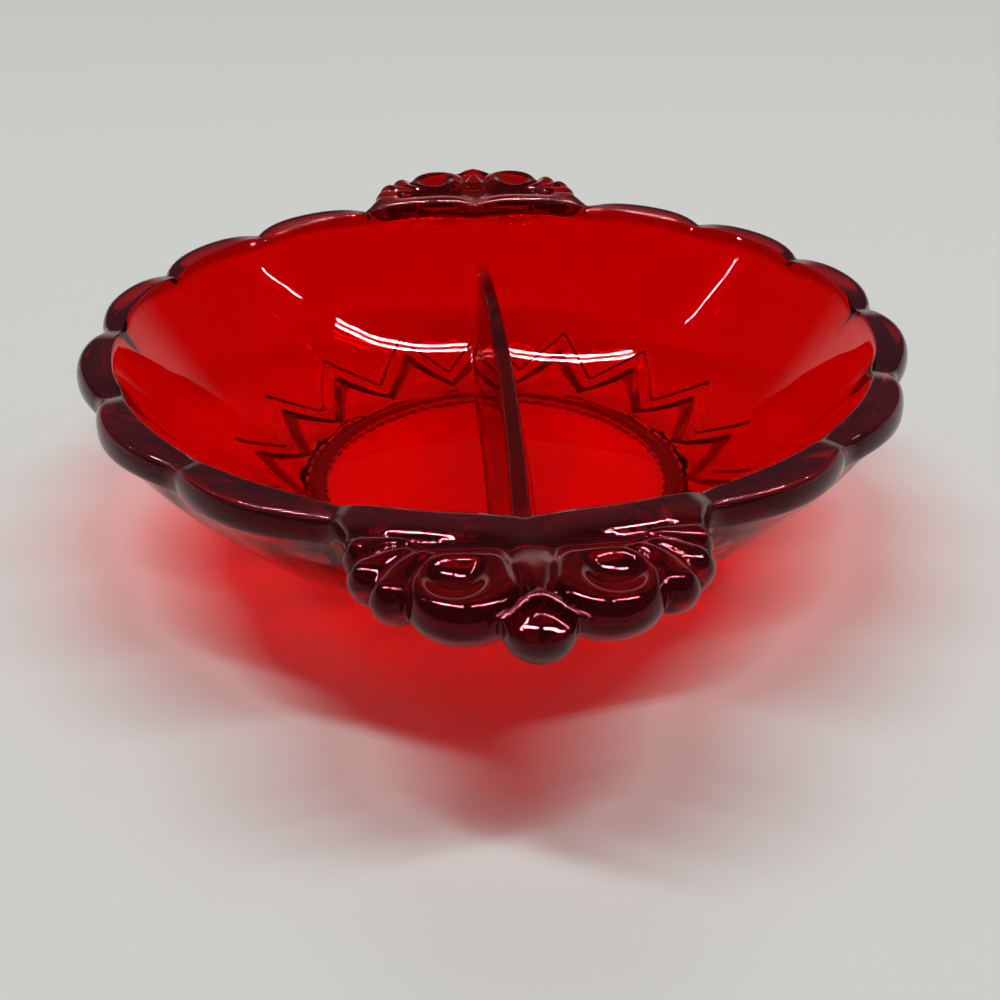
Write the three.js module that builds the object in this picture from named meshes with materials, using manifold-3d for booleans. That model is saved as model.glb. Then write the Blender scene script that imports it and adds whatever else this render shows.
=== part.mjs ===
// A two-handled candy dish in pressed ruby glass, divided across the middle.
// Millimetres, +Z up. The dish stands on z = 0 with its handles along Y, and the divider runs from handle to handle.
// The glass is split where the pressing changes form: floor, foot, wall flutes, rim lobes, divider and handles.
import * as THREE from "three";
import { mergeVertices } from "three/addons/utils/BufferGeometryUtils.js";
import Module from "manifold-3d";

const wasm = await Module();
wasm.setup();

// Clearance between neighbouring pieces
const JOINT_GAP = 0.3;

// Floor, and the foot ring set back under its edge
const FLOOR_RADIUS = 38;
const FLOOR_THICKNESS = 5.4;
const FOOT_SETBACK = 1.5;
const FOOT_WIDTH = 4;
const FOOT_HEIGHT = 2;

// Bowl wall: smooth inside, with one petal-ended flute outside under each lobe of the rim
const BOWL_DEPTH = 34.4;
const RIM_INNER_RADIUS = 72.4;
const INNER_BOW = 0.5;
const OUTER_BOW = 0.6;
const PETAL_RELIEF = 1.5;
const PETAL_TIP_RUN = 2;
const PETAL_VALLEY_RUN = 10;
const PETAL_BEVEL_RUN = 3;
const CREASE_DEPTH_LOW = 0.9;

// Rim
const RIM_DEPTH = 6.2;
const RIM_NOTCH_WIDTH = 3.5;
const LOBE_CREST_RISE = 3.1;
const LOBE_OVERHANG = 2.2;
const LOBE_FACE_HEIGHT = 4.6;
const LOBE_ROUND = 2.6;
const NOTCH_DIP = 1.1;
const SIDE_LOBES = 6;
const HANDLE_SPAN_DEG = 43.6;
const HANDLE_RIM_WIDTH = 5.4;

// Divider
const DIVIDER_HEIGHT = 21.6;
const DIVIDER_CREST_RADIUS = 1.6;
const DIVIDER_BASE_HALF_WIDTH = 4.7;
const DIVIDER_BOW = 2.3;

// Handles: "out" is the distance from the outer edge of the rim behind the handle
const HANDLE_DROP = 2.2;
const HANDLE_THICKNESS = 7;
const SCROLL_X = 9.3;
const SCROLL_OUT = 10.7;
const SCROLL_RADIUS = 8;
const SCROLL_NECK_X = 9;
const SCROLL_NECK_OUT = 3.2;
const SCROLL_NECK_RADIUS = 6.6;
const SCROLL_EDGE_ROUND = 3;
const EYE_HALF_WIDTH = 4.6;
const EYE_HALF_LENGTH = 6;
const EYE_DEPTH = 3.2;
const STEM_HALF_WIDTH = 1.7;
const BEAD_OUT = 15.9;
const BEAD_RADIUS = 5.2;
const BEAD_POINT_LENGTH = 1.7;
const BEAD_DROP = 0.7;

// The three ribs of a fan: root, bend, tip and the radius at the tip
const RIB_ROOT_X = 13;
const RIB_ROOT_RADIUS = 2.1;
const FAN_RIBS = [
  { rootOut: 0.6, bendX: 18.5, bendOut: 0.2, tipX: 23, tipOut: 0.8, tipRadius: 2.7 },
  { rootOut: 2.8, bendX: 19, bendOut: 3.8, tipX: 21.6, tipOut: 6, tipRadius: 3.1 },
  { rootOut: 5.2, bendX: 18, bendOut: 6.2, tipX: 18.3, tipOut: 10.4, tipRadius: 2.9 },
];

// Facet counts
const LOBE_STEPS = 6;
const WALL_ROWS = 5;
const ROUND_STEPS = 3;
const RING_SEGMENTS = 64;
const DIVIDER_STEPS = 8;
const RIB_SIDES = 8;
const RIB_STEPS = 4;
const OUTLINE_STEPS = 8;
const BALL_STEPS = 16;

const RUBY_GLASS = { color: 0xa00612, roughness: 0.05, metalness: 0 };

// Levels and radii that follow from the driving dimensions
const HALF_GAP = JOINT_GAP / 2;
const FOOT_INNER_RADIUS = FLOOR_RADIUS - FOOT_SETBACK;
const FOOT_RADIUS = FOOT_INNER_RADIUS + FOOT_WIDTH;
const FLOOR_TOP_Z = FOOT_HEIGHT + FLOOR_THICKNESS;
const RIM_TOP_Z = FLOOR_TOP_Z + BOWL_DEPTH;
const RIM_SEAT_Z = RIM_TOP_Z - RIM_DEPTH;
const NOTCH_RADIUS = RIM_INNER_RADIUS + RIM_NOTCH_WIDTH;
const HANDLE_RIM_RADIUS = RIM_INNER_RADIUS + HANDLE_RIM_WIDTH;
const HANDLE_MID_Z = RIM_TOP_Z - HANDLE_DROP;
const HANDLE_TOP_Z = HANDLE_MID_Z + HANDLE_THICKNESS / 2;
const HANDLE_BOTTOM_Z = HANDLE_MID_Z - HANDLE_THICKNESS / 2;

const lerp = THREE.MathUtils.lerp;
const point = (x, y) => new THREE.Vector2(x, y);
const fromRim = (out) => HANDLE_RIM_RADIUS + out;

// Height share of a bowed wall at share t of its run, and the inverse
const bowed = (t, bow) => t + bow * (t * t - t);
const unbowed = (s, bow) => (bow - 1 + Math.sqrt((1 - bow) ** 2 + 4 * bow * s)) / (2 * bow);

// Inner radius of the bowl at a height
function innerRadiusAt(z) {
  return lerp(FLOOR_RADIUS, RIM_INNER_RADIUS, unbowed((z - FLOOR_TOP_Z) / BOWL_DEPTH, INNER_BOW));
}

// Outline of a rim lobe, u from -1 at one notch to 1 at the next
const lobeRadius = (u) => NOTCH_RADIUS + LOBE_CREST_RISE * (1 - u * u);

// Outline of the rim behind a handle: it leaves the notch at u = -1 and swells to carry the ornament
const handleRimRadius = (u) => lerp(HANDLE_RIM_RADIUS, NOTCH_RADIUS, Math.max(0, -u) ** 6);

// Outer face of a flute: plain below the petal's pointed end, then full on the crest and creased at its sides
function fluteOuterFace(u) {
  const foot = FOOT_RADIUS + PETAL_RELIEF;
  const run = NOTCH_RADIUS + LOBE_CREST_RISE - LOBE_OVERHANG - foot;
  const petalEnd = lerp(PETAL_TIP_RUN, PETAL_VALLEY_RUN, Math.abs(u)) / run;
  const petalFull = petalEnd + PETAL_BEVEL_RUN / run;
  const crest = (t) => point(foot + run * t, lerp(FOOT_HEIGHT, RIM_SEAT_Z - HALF_GAP, bowed(t, OUTER_BOW)));
  const face = [0, petalEnd].map((t) => crest(t).sub(point(PETAL_RELIEF, 0)));
  for (let k = 0; k < WALL_ROWS - 1; k++) {
    const t = lerp(petalFull, 1, k / (WALL_ROWS - 2));
    face.push(crest(t).sub(point(u * u * lerp(CREASE_DEPTH_LOW, LOBE_CREST_RISE, t), 0)));
  }
  return face;
}

// Closed profile of a flute: up the outside, then down the inside
function fluteProfile(u) {
  const profile = fluteOuterFace(u);
  for (let row = WALL_ROWS; row >= 0; row--) {
    const z = lerp(FLOOR_TOP_Z, RIM_SEAT_Z - HALF_GAP, bowed(row / WALL_ROWS, INNER_BOW));
    profile.push(point(innerRadiusAt(z), z));
  }
  profile.push(point(FLOOR_RADIUS, FOOT_HEIGHT));
  return profile;
}

// Closed profile of the rim, with a rounded outer edge and a dip at the notches
function rimProfile(u, outline) {
  const top = RIM_TOP_Z - NOTCH_DIP * u ** 4;
  const seat = RIM_SEAT_Z + HALF_GAP;
  const outer = outline(u);
  const round = Math.min(LOBE_ROUND, (outer - RIM_INNER_RADIUS) / 2);
  const profile = [point(lobeRadius(u) - LOBE_OVERHANG, seat), point(outer, RIM_TOP_Z - LOBE_FACE_HEIGHT)];
  for (let k = 0; k <= ROUND_STEPS; k++) {
    const a = (k / ROUND_STEPS) * (Math.PI / 2);
    profile.push(point(outer - round * (1 - Math.cos(a)), top - round * (1 - Math.sin(a))));
  }
  const half = (seat + top) / 2;
  profile.push(point(innerRadiusAt(top), top), point(innerRadiusAt(half), half), point(innerRadiusAt(seat), seat));
  return profile;
}

// Turns a closed geometry's triangles round if its volume comes out negative
function facingOut(geometry) {
  const place = geometry.getAttribute("position");
  const index = geometry.index.array;
  const corner = (i) => new THREE.Vector3().fromBufferAttribute(place, index[i]);
  let volume = 0;
  for (let i = 0; i < index.length; i += 3) volume += corner(i).dot(corner(i + 1).cross(corner(i + 2)));
  for (let i = 0; volume < 0 && i < index.length; i += 3) {
    [index[i + 1], index[i + 2]] = [index[i + 2], index[i + 1]];
  }
  return geometry;
}

// Solid through a row of closed sections with equal point counts, capped flat at both ends
function loft(sections, capContour) {
  const count = sections[0].length;
  const index = [];
  for (let s = 0; s + 1 < sections.length; s++) {
    for (let i = 0; i < count; i++) {
      const a = s * count + i;
      const b = s * count + ((i + 1) % count);
      index.push(a, b, b + count, a, b + count, a + count);
    }
  }
  const last = (sections.length - 1) * count;
  const turning = Math.sign(THREE.ShapeUtils.area(capContour));
  for (const [a, b, c] of THREE.ShapeUtils.triangulateShape(capContour, [])) {
    const same = Math.sign(THREE.ShapeUtils.area([capContour[a], capContour[b], capContour[c]])) === turning;
    const [second, third] = same ? [b, c] : [c, b];
    index.push(a, third, second, last + a, last + second, last + third);
  }
  const geometry = new THREE.BufferGeometry().setFromPoints(sections.flat());
  geometry.setIndex(index);
  return facingOut(geometry);
}

// A closed geometry as a solid that can be joined and cut, and back again
function toSolid(geometry) {
  const bare = geometry.clone();
  bare.deleteAttribute("normal");
  bare.deleteAttribute("uv");
  const merged = facingOut(mergeVertices(bare, 1e-4));
  const vertProperties = new Float32Array(merged.getAttribute("position").array);
  const triVerts = new Uint32Array(merged.index.array);
  return new wasm.Manifold(new wasm.Mesh({ numProp: 3, vertProperties, triVerts }));
}

function fromSolid(solid) {
  const mesh = solid.getMesh();
  const geometry = new THREE.BufferGeometry();
  geometry.setAttribute("position", new THREE.BufferAttribute(new Float32Array(mesh.vertProperties), 3));
  geometry.setIndex(new THREE.BufferAttribute(new Uint32Array(mesh.triVerts), 1));
  return geometry;
}

// Ring or disc turned about the upright axis from a closed outline of radius and height
function turned(outline) {
  return new THREE.LatheGeometry([...outline, outline[0]], RING_SEGMENTS).rotateX(Math.PI / 2);
}

// Wall or rim between two angles, with half a joint left free along each side
function sectorPiece(sector, profileAt) {
  const sections = [];
  for (let k = 0; k <= LOBE_STEPS; k++) {
    const u = (2 * k) / LOBE_STEPS - 1;
    const angle = lerp(sector.start, sector.end, k / LOBE_STEPS);
    const radial = new THREE.Vector3(Math.cos(angle), Math.sin(angle), 0);
    const inset = new THREE.Vector3(Math.sin(angle), -Math.cos(angle), 0).multiplyScalar(u * HALF_GAP);
    sections.push(profileAt(u).map((p) => radial.clone().multiplyScalar(p.x).add(inset).setZ(p.y)));
  }
  return loft(sections, profileAt(-1));
}

// The sectors round the dish: the lobes of each side, and two behind each handle
function allSectors() {
  const handle = THREE.MathUtils.degToRad(HANDLE_SPAN_DEG);
  const lobe = (Math.PI - handle) / SIDE_LOBES;
  const sectors = [];
  for (const [side, middle] of [["right", 0], ["left", Math.PI]]) {
    for (let k = 0; k < SIDE_LOBES; k++) {
      const start = middle + (k - SIDE_LOBES / 2) * lobe;
      sectors.push({ name: `${side}_${k + 1}`, start, end: start + lobe, notchSide: 0 });
    }
  }
  for (const [end, middle, first, second] of [
    ["front", -Math.PI / 2, "left", "right"],
    ["rear", Math.PI / 2, "right", "left"],
  ]) {
    sectors.push({ name: `${end}_${first}`, start: middle - handle / 2, end: middle, notchSide: 1 });
    sectors.push({ name: `${end}_${second}`, start: middle, end: middle + handle / 2, notchSide: -1 });
  }
  return sectors;
}

// Space inside the bowl, one joint clear of the floor and the wall
function bowlSpace() {
  const low = FLOOR_TOP_Z + JOINT_GAP;
  const outline = [point(0, low)];
  for (let k = 0; k <= 2 * WALL_ROWS; k++) {
    const z = lerp(low, RIM_TOP_Z, k / (2 * WALL_ROWS));
    outline.push(point(innerRadiusAt(z) - JOINT_GAP, z));
  }
  outline.push(point(0, RIM_TOP_Z));
  return toSolid(turned(outline));
}

// Section with straight or sloping sides and a half-round crest
function crestedSection(baseHalf, baseZ, crestRadius, crestZ) {
  const section = [point(-baseHalf, baseZ)];
  for (let k = 0; k <= 2 * ROUND_STEPS; k++) {
    const a = Math.PI * (1 - k / (2 * ROUND_STEPS));
    section.push(point(crestRadius * Math.cos(a), crestZ - crestRadius * (1 - Math.sin(a))));
  }
  section.push(point(baseHalf, baseZ));
  return section;
}

// Wall across the bowl, bowed a little to one side as the pressing left it
function dividerPiece() {
  const crestZ = FLOOR_TOP_Z + DIVIDER_HEIGHT;
  const section = crestedSection(DIVIDER_BASE_HALF_WIDTH, FLOOR_TOP_Z, DIVIDER_CREST_RADIUS, crestZ);
  const sections = [];
  for (let k = 0; k <= DIVIDER_STEPS; k++) {
    const along = (2 * k) / DIVIDER_STEPS - 1;
    const shift = DIVIDER_BOW * (1 - along * along);
    sections.push(section.map((p) => new THREE.Vector3(p.x + shift, along * RIM_INNER_RADIUS, p.y)));
  }
  return fromSolid(toSolid(loft(sections, section)).intersect(bowlSpace()));
}

// The ornament below is drawn on the handle that lies along +Y, and grow widens a piece to cut its clearance
// Round drop at the middle of the handle, with its point towards the dish
function beadDrop(grow) {
  const radius = BEAD_RADIUS + grow;
  const reach = BEAD_RADIUS + BEAD_POINT_LENGTH + grow;
  const outline = [point(0, -reach)];
  for (let k = 0; k <= BALL_STEPS; k++) {
    const a = lerp(-Math.asin(radius / reach), Math.PI / 2, k / BALL_STEPS);
    outline.push(point(k < BALL_STEPS ? radius * Math.cos(a) : 0, radius * Math.sin(a)));
  }
  const drop = new THREE.LatheGeometry(outline, BALL_STEPS);
  return toSolid(drop.translate(0, fromRim(BEAD_OUT), HANDLE_MID_Z - BEAD_DROP));
}

// Round-topped ridge from the rim to the bead
function stemRidge(grow) {
  const half = STEM_HALF_WIDTH + grow;
  const section = crestedSection(half, HANDLE_BOTTOM_Z - grow, half, HANDLE_TOP_Z + grow);
  const ends = [RIM_INNER_RADIUS, fromRim(BEAD_OUT) + grow];
  return toSolid(loft(ends.map((y) => section.map((p) => new THREE.Vector3(p.x, y, p.y))), section));
}

// Egg-shaped outline round the scroll's large end and its neck
function scrollOutline(inset) {
  const along = point(SCROLL_NECK_X - SCROLL_X, SCROLL_NECK_OUT - SCROLL_OUT);
  const heading = along.angle();
  const spread = Math.acos((SCROLL_RADIUS - SCROLL_NECK_RADIUS) / along.length());
  const back = heading - spread + 2 * Math.PI;
  const shape = new THREE.Shape();
  shape.absarc(SCROLL_X, fromRim(SCROLL_OUT), SCROLL_RADIUS - inset, heading + spread, back, false);
  const neckRadius = SCROLL_NECK_RADIUS - inset;
  shape.absarc(SCROLL_NECK_X, fromRim(SCROLL_NECK_OUT), neckRadius, heading - spread, heading + spread, false);
  return shape;
}

// Thick scroll with rounded edges
function scrollBody(grow) {
  const round = SCROLL_EDGE_ROUND;
  const body = new THREE.ExtrudeGeometry(scrollOutline(round), {
    depth: HANDLE_THICKNESS - 2 * round,
    bevelThickness: round + grow,
    bevelSize: round + grow,
    bevelSegments: ROUND_STEPS,
    curveSegments: OUTLINE_STEPS,
  });
  return toSolid(body.translate(0, 0, HANDLE_BOTTOM_Z + round));
}

// Hollow in the top of the scroll
function scrollEye() {
  const eye = new THREE.SphereGeometry(1, BALL_STEPS, BALL_STEPS / 2).rotateX(Math.PI / 2);
  eye.scale(EYE_HALF_WIDTH, EYE_HALF_LENGTH, EYE_DEPTH);
  return toSolid(eye.translate(SCROLL_X, fromRim((SCROLL_OUT + SCROLL_NECK_OUT) / 2), HANDLE_TOP_Z));
}

// Ring of a rib: round in plan, and as thick as the handle where the rib is fullest
function ribRing(rib, centre, heading, radius) {
  const ring = [];
  for (let i = 0; i < RIB_SIDES; i++) {
    const a = (2 * Math.PI * i) / RIB_SIDES;
    const across = radius * Math.cos(a);
    const lift = (radius / rib.tipRadius) * (HANDLE_THICKNESS / 2) * Math.sin(a);
    ring.push(new THREE.Vector3(centre.x - heading.y * across, centre.y + heading.x * across, HANDLE_MID_Z + lift));
  }
  return ring;
}

// One rib of the fan, swelling from its root to a blunt tip
function fanRib(rib) {
  const root = point(RIB_ROOT_X, fromRim(rib.rootOut));
  const bend = point(rib.bendX, fromRim(rib.bendOut));
  const tip = point(rib.tipX, fromRim(rib.tipOut));
  const path = new THREE.QuadraticBezierCurve(root, bend, tip);
  const rings = [];
  for (let k = 0; k <= RIB_STEPS; k++) {
    const t = k / RIB_STEPS;
    rings.push(ribRing(rib, path.getPoint(t), path.getTangent(t), lerp(RIB_ROOT_RADIUS, rib.tipRadius, t)));
  }
  const heading = path.getTangent(1);
  for (let k = 1; k <= ROUND_STEPS; k++) {
    const a = (k / (ROUND_STEPS + 1)) * (Math.PI / 2);
    const centre = tip.clone().addScaledVector(heading, rib.tipRadius * Math.sin(a));
    rings.push(ribRing(rib, centre, heading, rib.tipRadius * Math.cos(a)));
  }
  const capContour = rings[0].map((_, i) => point(1, 0).rotateAround(point(0, 0), (2 * Math.PI * i) / RIB_SIDES));
  return toSolid(loft(rings, capContour));
}

// All that lies inside the rim behind a handle, which the ornament has to clear
function rimClearance() {
  const reach = HANDLE_RIM_RADIUS + JOINT_GAP;
  const above = 2 * RIM_TOP_Z;
  return toSolid(turned([point(0, 0), point(reach, 0), point(reach, above), point(0, above)]));
}

// The right-hand ornament of the handle along +Y, cut so that each piece clears its neighbours
function handleOrnament() {
  const rim = rimClearance();
  const beadRoom = beadDrop(JOINT_GAP);
  const scroll = scrollBody(0).subtract(scrollEye()).subtract(stemRidge(JOINT_GAP)).subtract(beadRoom).subtract(rim);
  const ribs = FAN_RIBS.map(fanRib).reduce((joined, rib) => joined.add(rib));
  return {
    bead: fromSolid(beadDrop(0)),
    stem: fromSolid(stemRidge(0).subtract(beadRoom).subtract(rim)),
    scroll: fromSolid(scroll),
    fan: fromSolid(ribs.subtract(scrollBody(JOINT_GAP)).subtract(rim)),
  };
}

const mirrored = (geometry) => facingOut(geometry.clone().scale(-1, 1, 1));

function addPiece(parent, name, geometry) {
  const shown = geometry.index ? geometry.toNonIndexed() : geometry;
  shown.computeVertexNormals();
  const mesh = new THREE.Mesh(shown, new THREE.MeshStandardMaterial(RUBY_GLASS));
  mesh.name = name;
  parent.add(mesh);
}

// Round block from an inner radius (0 for a disc) to an outer radius, between two heights
function roundBlock(inner, outer, low, high) {
  return turned([point(inner, low), point(outer, low), point(outer, high), point(inner, high)]);
}

const dish = new THREE.Group();
addPiece(dish, "base_plate", roundBlock(0, FLOOR_RADIUS - JOINT_GAP, FOOT_HEIGHT, FLOOR_TOP_Z));
addPiece(dish, "foot_ring", roundBlock(FOOT_INNER_RADIUS, FOOT_RADIUS, 0, FOOT_HEIGHT - JOINT_GAP));
addPiece(dish, "divider", dividerPiece());

for (const sector of allSectors()) {
  const onHandle = sector.notchSide !== 0;
  const outline = onHandle ? (u) => handleRimRadius(u * sector.notchSide) : lobeRadius;
  const rimName = onHandle ? `handle_rim_${sector.name}` : `rim_lobe_${sector.name}`;
  addPiece(dish, `wall_flute_${sector.name}`, sectorPiece(sector, fluteProfile));
  addPiece(dish, rimName, sectorPiece(sector, (u) => rimProfile(u, outline)));
}

const ornament = handleOrnament();
for (const [end, turn, plusSide, minusSide] of [
  ["front", Math.PI, "left", "right"],
  ["rear", 0, "right", "left"],
]) {
  const handle = new THREE.Group();
  handle.rotation.z = turn;
  dish.add(handle);
  addPiece(handle, `${end}_handle_bead`, ornament.bead);
  addPiece(handle, `${end}_handle_stem`, ornament.stem);
  addPiece(handle, `${end}_handle_scroll_${plusSide}`, ornament.scroll);
  addPiece(handle, `${end}_handle_scroll_${minusSide}`, mirrored(ornament.scroll));
  addPiece(handle, `${end}_handle_fan_${plusSide}`, ornament.fan);
  addPiece(handle, `${end}_handle_fan_${minusSide}`, mirrored(ornament.fan));
}

export default dish;
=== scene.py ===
"""Divided candy dish in pressed ruby glass, standing on a pale cloth."""
import math

import bpy
import numpy as np
from mathutils import Matrix, Vector


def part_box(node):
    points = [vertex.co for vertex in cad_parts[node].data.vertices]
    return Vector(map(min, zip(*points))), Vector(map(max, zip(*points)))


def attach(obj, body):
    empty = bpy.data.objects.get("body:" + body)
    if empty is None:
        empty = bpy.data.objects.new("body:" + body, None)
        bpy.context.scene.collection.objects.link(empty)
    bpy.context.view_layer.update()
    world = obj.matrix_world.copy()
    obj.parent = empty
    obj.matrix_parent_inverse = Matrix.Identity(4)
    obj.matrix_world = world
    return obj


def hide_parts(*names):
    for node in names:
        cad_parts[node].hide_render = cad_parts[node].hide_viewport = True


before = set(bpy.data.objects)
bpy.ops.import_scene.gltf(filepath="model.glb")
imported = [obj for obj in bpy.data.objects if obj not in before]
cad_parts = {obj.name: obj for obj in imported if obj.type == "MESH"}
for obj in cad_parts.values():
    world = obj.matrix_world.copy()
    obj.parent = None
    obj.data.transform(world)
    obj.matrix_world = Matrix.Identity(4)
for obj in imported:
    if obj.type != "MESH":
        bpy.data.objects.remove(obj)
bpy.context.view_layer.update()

MM = 0.001
AXIS_X, AXIS_Y, AXIS_Z = 0, 1, 2


def reach(node, axis):
    """How far a solid of the frame reaches along an axis, in mm."""
    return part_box(node)[1][axis] / MM


# Bowl, floor and foot, in mm
FLOOR_TOP = reach("base_plate", AXIS_Z)
FLOOR_RADIUS = 38.0
FLOOR_FILLET = 2.6
RIM_TOP = reach("rim_lobe_right_1", AXIS_Z)
RIM_INNER_RADIUS = 72.4
INNER_BOW = 0.5
INNER_LEAST_SHARE = -0.5
RIM_EDGE_ROUND = 0.4
FOOT_RADIUS = reach("foot_ring", AXIS_X)
FOOT_INNER_RADIUS = 36.5
FOOT_MID_RADIUS = 38.5
FOOT_HEIGHT = 2.0
FOOT_STEP = 0.5

# Outer wall with its flutes
WALL_FOOT_RADIUS = 42.0
WALL_TOP_RADIUS = 76.8
WALL_TOP_Z = 35.45
OUTER_BOW = 0.6
OUTER_LEAST_SHARE = -0.2
CREASE_DEPTH = 0.12
GROOVE_DEPTH = 0.35
GROOVE_HALF_WIDTH = 1.1
CREASE_AT_RIM = 1.6
CREASE_RIM_SHARE = 0.9

# Petal ends that are pressed into the outer wall
PETAL_TIP_RADIUS = 41.8
PETAL_VALLEY_RADIUS = 51.1
PETAL_BEVEL = 5.6
PETAL_STEP = 2.2
PETAL_STEP_RUN = 2.3
PETAL_LINE_STEP = 0.9
PETAL_LINE_RUN = 1.1
PETAL_ROWS = (-0.9, -0.6, -0.35, -0.1, 0.1, 0.6, 1.2, 1.8, 2.2, 2.4, 2.7, 4.0, 5.2, 5.5, 5.7, 6.0, 6.3, 6.6,
              6.8, 8.0)
FOOT_FADE = 1.4
FOOT_BEADS = 72
FOOT_BEAD_DEPTH = 0.35
FOOT_BEAD_SPAN = (0.3, 1.1)

# Lobes of the rim
SIDE_LOBES = 6
HANDLE_HALF_SPAN = 21.8
SIDE_HALF_SPAN = 90.0 - HANDLE_HALF_SPAN
NOTCH_RADIUS = 75.9
LOBE_CREST_RADIUS = 78.99
NOTCH_DIP = 1.1
ARCH_POWER = 4
NOTCH_SLACK = 1e-6
LOBE_EDGE_Z = 38.3
LOBE_NOTCH_EDGE_Z = 39.2
LOBE_TOP_ROUND = 1.5
LOBE_UNDER_ROUND = 2.2
LOBE_UNDER_DROP = 1.8
LOBE_UNDER_BLEND = 2.2

# Divider across the bowl
CREST_Z = reach("divider", AXIS_Z)
CREST_HALF_WIDTH = 1.6
CREST_CROWN = 0.16
CREST_BLEND = 2.1
DIVIDER_BASE_HALF_WIDTH = 4.6
DIVIDER_FILLET = 1.6
DIVIDER_BOW = 2.3
BOW_FADE = 25.0
STRIP_HALF_WIDTH = 9.0

# Scroll handles, in plan: x is across the handle and y is outwards from the middle of the dish
HANDLE_MID_Z = 39.6
HANDLE_MIDDLE = (8.0, 80.0)
ROLL_OUTER_RADIUS = 79.4
ROLL_FALL = 5.2
ARCH_RISE = 0.9
ARCH_DROP = 1.9
PLATE_RISE = 1.3
PLATE_FALL = 3.3
PLATE_ROUND = 2.4
PLATE_UNDER_ROUND = 3.0
PLATE_EDGE_RUN = 2.0
PLATE_WALL_BLEND = 1.2
BEAD_RADIUS = 5.2
BEAD_RISE = 3.0
BEAD_Y = reach("rear_handle_bead", AXIS_Y) - BEAD_RADIUS
BEAD_Z = 38.9
BEAD_UNDER_RADIUS = BEAD_RADIUS - 0.15
SCROLL_CENTRE = (9.3, 88.5)
SCROLL_RADIUS = 8.0
SCROLL_NECK = (8.5, 82.0)
SCROLL_NECK_RADIUS = 6.0
SCROLL_RISE = 3.7
SCROLL_NECK_RISE = 1.4
SCROLL_ROUND = 3.4
SCROLL_SLOPE_TOP = 84.5
SCROLL_SLOPE_RUN = 5.5
EYE_CENTRE = (10.6, 87.8)
EYE_HALF = (4.5, 5.0)
EYE_FLOOR = 0.9
FAN_RIBS = (
    {"root": (14.0, 79.4), "bend": (18.5, 78.6), "tip": (23.0, 78.8), "radius": 2.7},
    {"root": (13.5, 80.4), "bend": (19.0, 81.2), "tip": (21.8, 83.9), "radius": 3.1},
    {"root": (10.8, 80.8), "bend": (17.4, 81.6), "tip": (18.9, 88.4), "radius": 2.9},
)
RIB_ROOT_RADIUS = 1.1
RIB_ROOT_RISE = 1.4
RIB_RISE = 3.3
RIB_SLOPE_SHARE = 0.4
RIB_JOIN = 0.3
RIB_POINTS = 10
RIM_END = (22.6, 72.2)
RIM_END_OPENING = 3.0
RIM_END_HOLLOW = 0.4
RIM_END_RUN = 5.0
STEM_HALF_WIDTH = 3.9
STEM_FLARE = 1.8
STEM_FLARE_FROM = 82.0
STEM_FLARE_RUN = 5.0
STEM_TAPER = 2.1
STEM_TAPER_FROM = 85.0
STEM_TAPER_RUN = 8.0
STEM_RISE = 4.0
STEM_ROOT_RISE = 1.4
STEM_SLOPE_FROM = 75.0
STEM_SLOPE_RUN = 17.0
STEM_ROUND = 3.0
STEM_END = 93.4
CHEVRON_APEX = (0.0, 93.4)
CHEVRON_MID = (2.7, 94.9)
CHEVRON_END = (5.5, 96.3)
CHEVRON_RADIUS = 1.0
CHEVRON_RISE = 4.45
CHEVRON_FALL = 3.0
CHEVRON_ROUND = 0.8
CHEVRON_POINTS = 6
RIB_BLEND = 0.4
ROLL_BLEND = 0.6
BODY_BLEND = 1.2
BEAD_BLEND = 0.2
CHEVRON_BLEND = 0.25
LEAST_BLEND = 0.01

# Spacing of the mesh
LOBE_COLUMNS = 14
OUTLINE_STEP = 0.55
LEAST_ARC_POINTS = 6
SPOKE_TURNS = (0.0, 2.4, 7.4, 9.8, 13.2, 16.0, HANDLE_HALF_SPAN)
SPOKE_BENDS = ((0.0, 85.0), (3.9, 86.0), (11.5, 84.5), (13.8, 82.8), (16.5, 79.5), (20.0, 75.5), (27.5, 68.8))
EDGE_ROWS = 9
EDGE_SHARE = 0.6
HANDLE_ROWS = 34
OVER_EDGE_RUN = 2.6
UNDER_ROWS = 9
UNDER_EDGE_RUN = 3.0
CENTRE_SHARES = (0.0, 0.35, 0.7)
BOWL_RINGS = ((14, 33, 5), (34.5, 42, 10), (43.5, 54, 7), (55, 66, 16), (67, 70.4, 4), (71, 72.15, 4))
FOOT_RINGS = ((16, 35.6, 3), (36, 37.4, 8), (38.4, 39.8, 3), (40.0, 40.6, 5))
WALL_RINGS = ((53.5, 71.5, 10),)
PETAL_FOLLOW = ((40.6, 0.0), (PETAL_TIP_RADIUS - 0.2, 1.0), (PETAL_TIP_RADIUS + 7.0, 1.0), (71.5, 0.0))
PETAL_PLAN_PASSES = 4
MERGE_DIGITS = 4

# Painted shade: how much the glass's colour is darkened on each part, from 0 for clear red to 1, where
# refraction and shade make it look dark
CREST_FADE_FROM = 7.0
CREST_FADE = 8.0
RIM_DEPTH = 0.12
RIM_SIDE_DEPTH = 0.3
RIM_SIDE_FADE = 1.5
LIP_FADE_Z = 35.6
LIP_FADE = 2.4
HANDLE_DEPTH = 0.3
REAR_HANDLE_DEPTH = 0.05
HANDLE_FADE_RADIUS = 76.5
HANDLE_FADE = 3.0
HANDLE_FADE_TURN = 3.0
BEAD_DEPTH = 0.8
BEAD_FADE_FROM = 1.6
PETAL_BEVEL_SHADE = 1.0
PETAL_MARGIN = 0.2
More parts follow.
